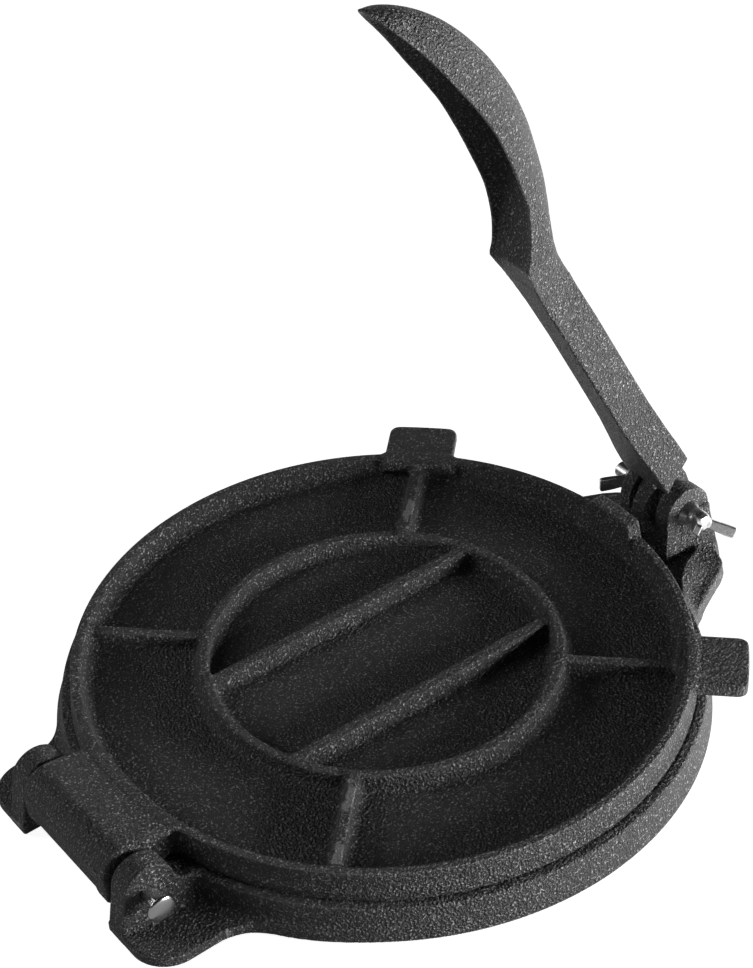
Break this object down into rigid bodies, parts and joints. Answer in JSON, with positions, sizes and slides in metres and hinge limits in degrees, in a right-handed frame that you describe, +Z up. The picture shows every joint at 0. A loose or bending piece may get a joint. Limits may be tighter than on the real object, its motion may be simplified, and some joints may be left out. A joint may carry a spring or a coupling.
{
  "type": "tortilla press",
  "caption": "Cast-iron tortilla press: round base and ribbed top plate hinged on a pin, closed by a pivoting lever held by a wing screw and wing nut.",
  "frame": {"origin": "centre of the round base, on the table", "axes": "+Z up; +X from the plate hinge to the lever bracket; +Y completes a right-handed frame; the hinge pin and the lever's screw lie along Y"},
  "size_m": [0.2609, 0.215, 0.2439],
  "materials": {
    "cast_iron": "black seasoned casting with a fine grain and a satin sheen",
    "pin_steel": "plain drawn steel",
    "plated_steel": "bright plated"
  },
  "bodies": {
    "base": {"base_plate": "cast_iron", "hinge_pin": "pin_steel", "pin_clip": "pin_steel"},
    "plate": {"top_plate": "cast_iron"},
    "pivot": {"wing_screw": "plated_steel"},
    "lever": {"lever": "cast_iron"},
    "nut": {"wing_nut": "plated_steel"}
  },
  "joints": [
    {"name": "plate_hinge", "type": "hinge", "parent": "base", "child": "plate", "pos_m": [-0.1155, -0.00365, 0.0158], "axis": [0, -1, 0], "range_deg": [0, 95]},
    {"name": "lever_swing", "type": "hinge", "parent": "base", "child": "pivot", "pos_m": [0.122, -0.00365, 0.0213], "axis": [0, 1, 0], "range_deg": [0, 57]},
    {"name": "lever_press", "type": "hinge", "parent": "pivot", "child": "lever", "pos_m": [0.122, -0.00365, 0.0213], "axis": [0, 1, 0], "range_deg": [-39.8, 56]},
    {"name": "nut_turn", "type": "hinge", "parent": "pivot", "child": "nut", "pos_m": [0.122, 0.0105, 0.0213], "axis": [0, 1, 0], "continuous": true}
  ],
  "couplings": [
    {"joint": "lever_swing", "follows": "plate_hinge", "ratio": 0.6}
  ]
}
